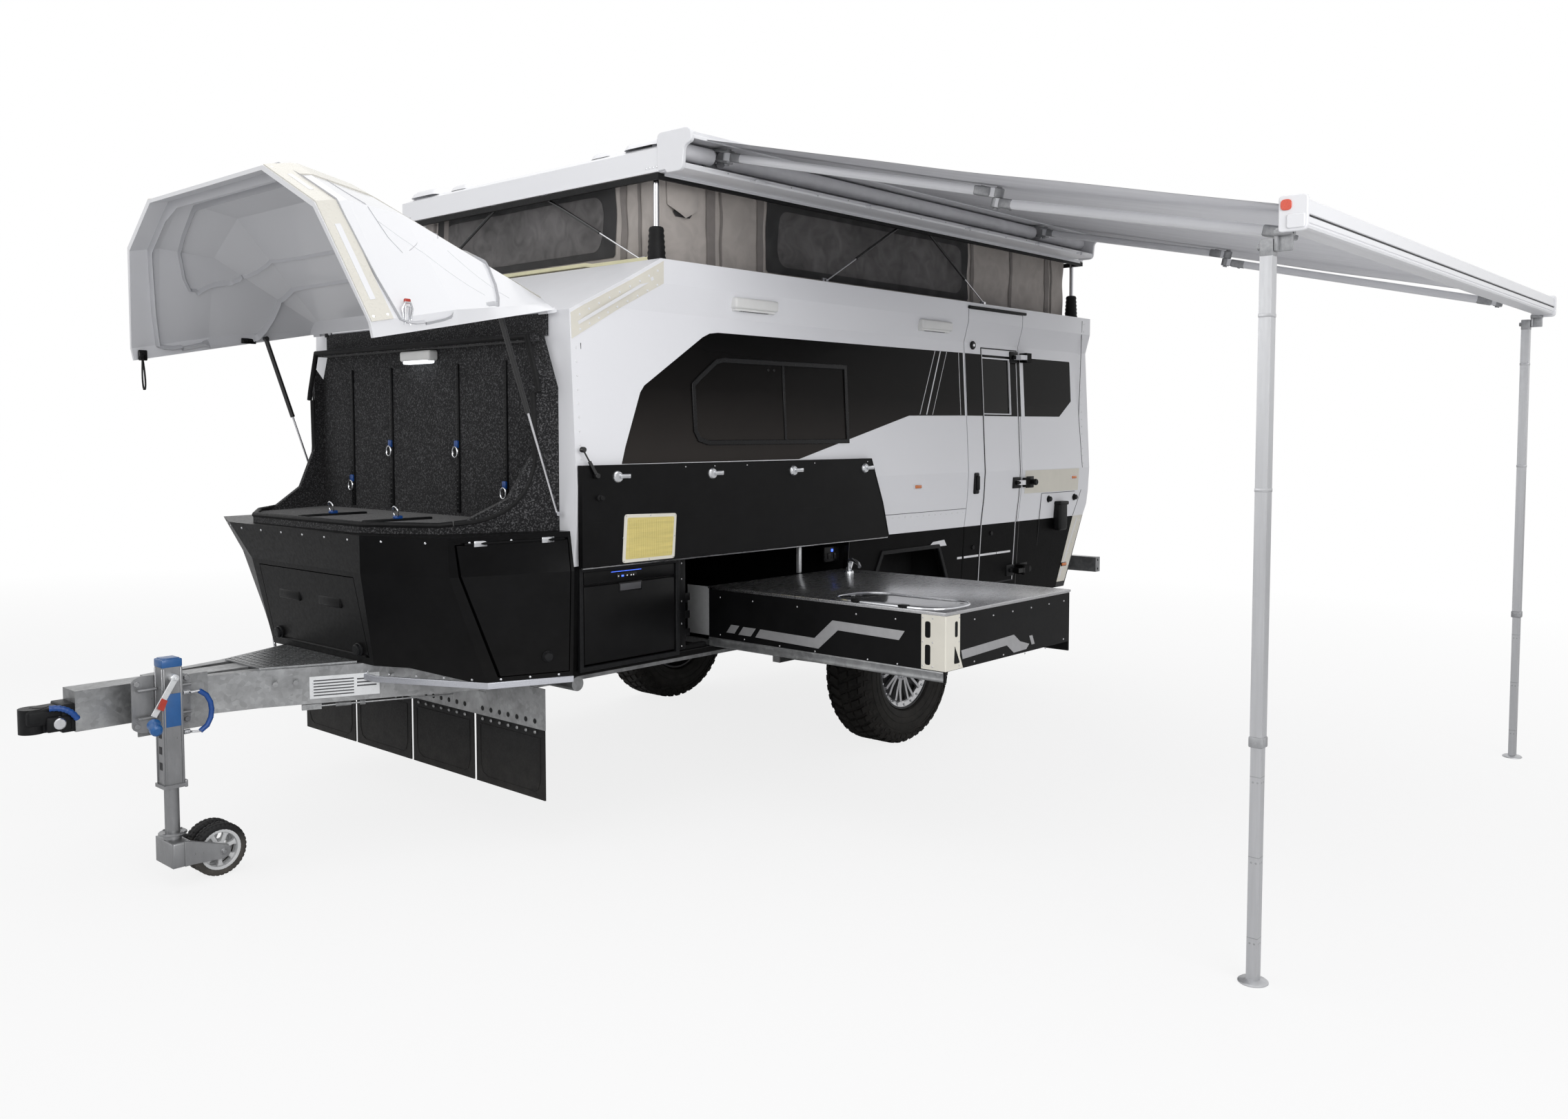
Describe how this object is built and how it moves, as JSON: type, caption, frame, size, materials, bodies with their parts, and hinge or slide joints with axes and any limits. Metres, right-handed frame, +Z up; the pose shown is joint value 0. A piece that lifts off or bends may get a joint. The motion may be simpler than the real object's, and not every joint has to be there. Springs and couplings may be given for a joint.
{
  "type": "off-road pop-top caravan",
  "caption": "Off-road caravan on its jockey jack with pop-top roof up, side awning out, front boot lid open and slide-out kitchen pulled from the side wall",
  "frame": {"origin": "centre of the coupling's upright pin bore, at hitch height", "axes": "+X forward along the drawbar, +Y to the awning side, +Z up"},
  "size_m": [6.339, 4.735, 2.955],
  "materials": {
    "galvanised": "hot-dip galvanised steel",
    "coupling": "black painted cast steel",
    "tread_plate": "bare tread plate",
    "body_white": "white and tan painted sandwich panel",
    "floor_board": "sealed plywood floor",
    "black_panel": "black powder coat",
    "lining": "dark needle-felt lining",
    "rubber_flap": "black rubber",
    "tyre": "off-road tyre",
    "rim": "black alloy",
    "jockey_tyre": "solid rubber wheels",
    "glass": "tinted acrylic",
    "stainless": "brushed stainless steel",
    "black_plastic": "black plastic",
    "strut_black": "black strut tube",
    "strut_rod": "hard chrome rod",
    "extrusion": "white and bare aluminium extrusion",
    "canvas": "grey canvas"
  },
  "bodies": {
    "caravan": {"chassis_frame": "galvanised", "coupling_head": "coupling", "drawbar_deck": "tread_plate", "flap_bar": "galvanised", "mud_flaps": "rubber_flap", "suspension_arms": "galvanised", "side_wall_left": "body_white", "side_wall_right": "body_white", "side_windows": "glass", "front_wall": "body_white", "rear_wall": "body_white", "floor_panel": "floor_board", "door_hinges": "coupling", "front_box": "black_panel", "boot_tub": "lining", "roof_mounts": "galvanised", "tent_walls": "canvas", "kitchen_slide_fixed": "galvanised", "fridge": "black_plastic", "kitchen_hatch": "black_panel"},
    "wheel_left": {"tyre_left": "tyre", "rim_left": "rim"},
    "wheel_right": {"tyre_right": "tyre", "rim_right": "rim"},
    "entry_door": {"entry_door": "body_white", "door_pane": "glass"},
    "boot_lid": {"boot_lid": "black_panel"},
    "lid_struts": {"lid_strut_tubes": "strut_black"},
    "lid_rods": {"lid_strut_rods": "strut_rod"},
    "locker_centre": {"locker_door_centre": "black_panel"},
    "locker_left": {"locker_door_left": "black_panel"},
    "locker_right": {"locker_door_right": "black_panel"},
    "roof": {"roof_shell": "body_white", "roof_posts": "extrusion", "awning_case": "extrusion", "awning_fabric": "canvas"},
    "side_struts_front": {"side_strut_tubes_front": "strut_black"},
    "side_rods_front": {"side_strut_rods_front": "strut_rod"},
    "side_struts_rear": {"side_strut_tubes_rear": "strut_black"},
    "side_rods_rear": {"side_strut_rods_rear": "strut_rod"},
    "end_struts_left": {"end_strut_tubes_left": "strut_black"},
    "end_rods_left": {"end_strut_rods_left": "strut_rod"},
    "end_struts_right": {"end_strut_tubes_right": "strut_black"},
    "end_rods_right": {"end_strut_rods_right": "strut_rod"},
    "arm_upper_front": {"arm_upper_front": "extrusion"},
    "arm_lower_front": {"arm_lower_front": "extrusion"},
    "arm_upper_rear": {"arm_upper_back": "extrusion"},
    "arm_lower_rear": {"arm_lower_back": "extrusion"},
    "lead_rail": {"lead_rail": "extrusion"},
    "leg_front": {"leg_outer_front": "extrusion"},
    "leg_front_inner": {"leg_inner_front": "extrusion"},
    "leg_rear": {"leg_outer_back": "extrusion"},
    "leg_rear_inner": {"leg_inner_back": "extrusion"},
    "kitchen_drawer": {"kitchen_drawer": "black_panel", "kitchen_top": "stainless"},
    "kitchen_rails": {"kitchen_slide_middle": "galvanised"},
    "jack_sleeve": {"jack_sleeve": "galvanised"},
    "jack_leg": {"jack_leg": "galvanised"},
    "jockey_fork": {"jockey_fork": "galvanised"},
    "jockey_wheels": {"jockey_wheels": "jockey_tyre"}
  },
  "joints": [
    {"name": "wheel_left_spin", "type": "hinge", "parent": "caravan", "child": "wheel_left", "pos_m": [-3.951, 0.9, -0.245], "axis": [0, 1, 0], "continuous": true},
    {"name": "wheel_right_spin", "type": "hinge", "parent": "caravan", "child": "wheel_right", "pos_m": [-3.951, -0.9, -0.245], "axis": [0, 1, 0], "continuous": true},
    {"name": "lid_hinge", "type": "hinge", "parent": "caravan", "child": "boot_lid", "pos_m": [-1.635, 0, 1.53], "axis": [0, 1, 0], "range_deg": [0, 79]},
    {"name": "lid_strut_hinge", "type": "hinge", "parent": "boot_lid", "child": "lid_struts", "pos_m": [-1.357, 0, 1.495], "axis": [0, 1, 0], "range_deg": [-97.05, 0]},
    {"name": "lid_strut_slide", "type": "slide", "parent": "lid_struts", "child": "lid_rods", "axis": [0.3198, 0, 0.9475], "range_m": [0, 0.28807]},
    {"name": "locker_centre_hinge", "type": "hinge", "parent": "caravan", "child": "locker_centre", "pos_m": [-1.09761, 0, 0.13], "axis": [0, -1, 0], "range_deg": [-74, 0]},
    {"name": "locker_left_hinge", "type": "hinge", "parent": "caravan", "child": "locker_left", "pos_m": [-1.648, 1.00937, 0.612], "axis": [-0.986, 0.1667, 0], "range_deg": [-80, 0]},
    {"name": "locker_right_hinge", "type": "hinge", "parent": "caravan", "child": "locker_right", "pos_m": [-1.648, -1.00937, 0.612], "axis": [0.986, 0.1667, 0], "range_deg": [-80, 0]},
    {"name": "entry_door_hinge", "type": "hinge", "parent": "caravan", "child": "entry_door", "pos_m": [-5.093, 1.064, 0.735], "axis": [0, 0, -1], "range_deg": [-95, 0]},
    {"name": "kitchen_slide", "type": "slide", "parent": "caravan", "child": "kitchen_drawer", "axis": [0, -1, 0], "range_m": [0, 1.26]},
    {"name": "kitchen_rail_slide", "type": "slide", "parent": "caravan", "child": "kitchen_rails", "axis": [0, -1, 0], "range_m": [0, 0.63]},
    {"name": "roof_slide", "type": "slide", "parent": "caravan", "child": "roof", "axis": [0, 0, -1], "range_m": [0, 0.37], "deforming": ["tent_walls"]},
    {"name": "side_strut_front_hinge", "type": "hinge", "parent": "roof", "child": "side_struts_front", "pos_m": [-3.921, 0, 2.14], "axis": [0, -1, 0], "range_deg": [0, 31.47]},
    {"name": "side_strut_front_slide", "type": "slide", "parent": "side_struts_front", "child": "side_rods_front", "axis": [-0.8741, 0, 0.4858], "range_m": [0, 0.08863]},
    {"name": "side_strut_rear_hinge", "type": "hinge", "parent": "roof", "child": "side_struts_rear", "pos_m": [-4.181, 0, 2.14], "axis": [0, 1, 0], "range_deg": [0, 33.53]},
    {"name": "side_strut_rear_slide", "type": "slide", "parent": "side_struts_rear", "child": "side_rods_rear", "axis": [0.8578, 0, 0.5141], "range_m": [0, 0.09461]},
    {"name": "end_strut_left_hinge", "type": "hinge", "parent": "roof", "child": "end_struts_left", "pos_m": [-2.172, 0.2, 2.14], "axis": [1, 0, 0], "range_deg": [0, 29.79]},
    {"name": "end_strut_left_slide", "type": "slide", "parent": "end_struts_left", "child": "end_rods_left", "axis": [0, -0.8868, 0.4622], "range_m": [0, 0.08377]},
    {"name": "end_strut_right_hinge", "type": "hinge", "parent": "roof", "child": "end_struts_right", "pos_m": [-2.172, -0.2, 2.14], "axis": [-1, 0, 0], "range_deg": [0, 29.79]},
    {"name": "end_strut_right_slide", "type": "slide", "parent": "end_struts_right", "child": "end_rods_right", "axis": [0, 0.8868, 0.4622], "range_m": [0, 0.08377]},
    {"name": "awning_arm", "type": "hinge", "parent": "roof", "child": "arm_upper_front", "pos_m": [-2.435, 1.13, 2.225], "axis": [0, 0.2197, 0.9756], "range_deg": [0, 76.47], "deforming": ["awning_fabric"]},
    {"name": "awning_elbow_front", "type": "hinge", "parent": "arm_upper_front", "child": "arm_lower_front", "pos_m": [-2.685, 2.35245, 1.94973], "axis": [0, 0.2197, 0.9756], "range_deg": [-152.95, 0]},
    {"name": "awning_tip_front", "type": "hinge", "parent": "arm_lower_front", "child": "lead_rail", "pos_m": [-2.435, 3.5749, 1.67447], "axis": [0, 0.2197, 0.9756], "range_deg": [0, 76.48]},
    {"name": "awning_arm_rear", "type": "hinge", "parent": "roof", "child": "arm_upper_rear", "pos_m": [-5.185, 1.13, 2.225], "axis": [0, 0.2197, 0.9756], "range_deg": [-76.48, 0]},
    {"name": "awning_elbow_rear", "type": "hinge", "parent": "arm_upper_rear", "child": "arm_lower_rear", "pos_m": [-4.935, 2.35245, 1.94973], "axis": [0, 0.2197, 0.9756], "range_deg": [0, 152.95]},
    {"name": "leg_front_hinge", "type": "hinge", "parent": "lead_rail", "child": "leg_front", "pos_m": [-2.245, 3.57, 1.595], "axis": [0, 1, 0], "range_deg": [0, 90]},
    {"name": "leg_front_slide", "type": "slide", "parent": "leg_front", "child": "leg_front_inner", "axis": [0, 0, 1], "range_m": [0, 0.72]},
    {"name": "leg_rear_hinge", "type": "hinge", "parent": "lead_rail", "child": "leg_rear", "pos_m": [-5.815, 3.57, 1.595], "axis": [0, -1, 0], "range_deg": [0, 90]},
    {"name": "leg_rear_slide", "type": "slide", "parent": "leg_rear", "child": "leg_rear_inner", "axis": [0, 0, 1], "range_m": [0, 0.72]},
    {"name": "jack_swing", "type": "hinge", "parent": "caravan", "child": "jack_sleeve", "pos_m": [-0.39, 0.2, 0.01], "axis": [0, -1, 0], "range_deg": [0, 90]},
    {"name": "jack_wind", "type": "slide", "parent": "jack_sleeve", "child": "jack_leg", "axis": [0, 0, 1], "range_m": [-0.1, 0.15]},
    {"name": "jockey_caster", "type": "hinge", "parent": "jack_leg", "child": "jockey_fork", "pos_m": [-0.39, 0.2, -0.42], "axis": [0, 0, 1], "continuous": true},
    {"name": "jockey_spin", "type": "hinge", "parent": "jockey_fork", "child": "jockey_wheels", "pos_m": [-0.545, 0.2, -0.558], "axis": [0, 1, 0], "continuous": true}
  ],
  "couplings": [
    {"joint": "lid_strut_hinge", "follows": "lid_hinge", "ratio": -1.2285},
    {"joint": "lid_strut_slide", "follows": "lid_hinge", "m_per_rad": 0.20892},
    {"joint": "kitchen_rail_slide", "follows": "kitchen_slide", "ratio": 0.5},
    {"joint": "side_strut_front_hinge", "follows": "roof_slide", "rad_per_m": 1.4844},
    {"joint": "side_strut_front_slide", "follows": "roof_slide", "ratio": 0.23951},
    {"joint": "side_strut_rear_hinge", "follows": "roof_slide", "rad_per_m": 1.5815},
    {"joint": "side_strut_rear_slide", "follows": "roof_slide", "ratio": 0.25567},
    {"joint": "end_strut_left_hinge", "follows": "roof_slide", "rad_per_m": 1.405},
    {"joint": "end_strut_left_slide", "follows": "roof_slide", "ratio": 0.22637},
    {"joint": "end_strut_right_hinge", "follows": "roof_slide", "rad_per_m": 1.405},
    {"joint": "end_strut_right_slide", "follows": "roof_slide", "ratio": 0.22637},
    {"joint": "awning_elbow_front", "follows": "awning_arm", "ratio": -2},
    {"joint": "awning_tip_front", "follows": "awning_arm", "ratio": 1},
    {"joint": "awning_arm_rear", "follows": "awning_arm", "ratio": -1},
    {"joint": "awning_elbow_rear", "follows": "awning_arm", "ratio": 2}
  ]
}
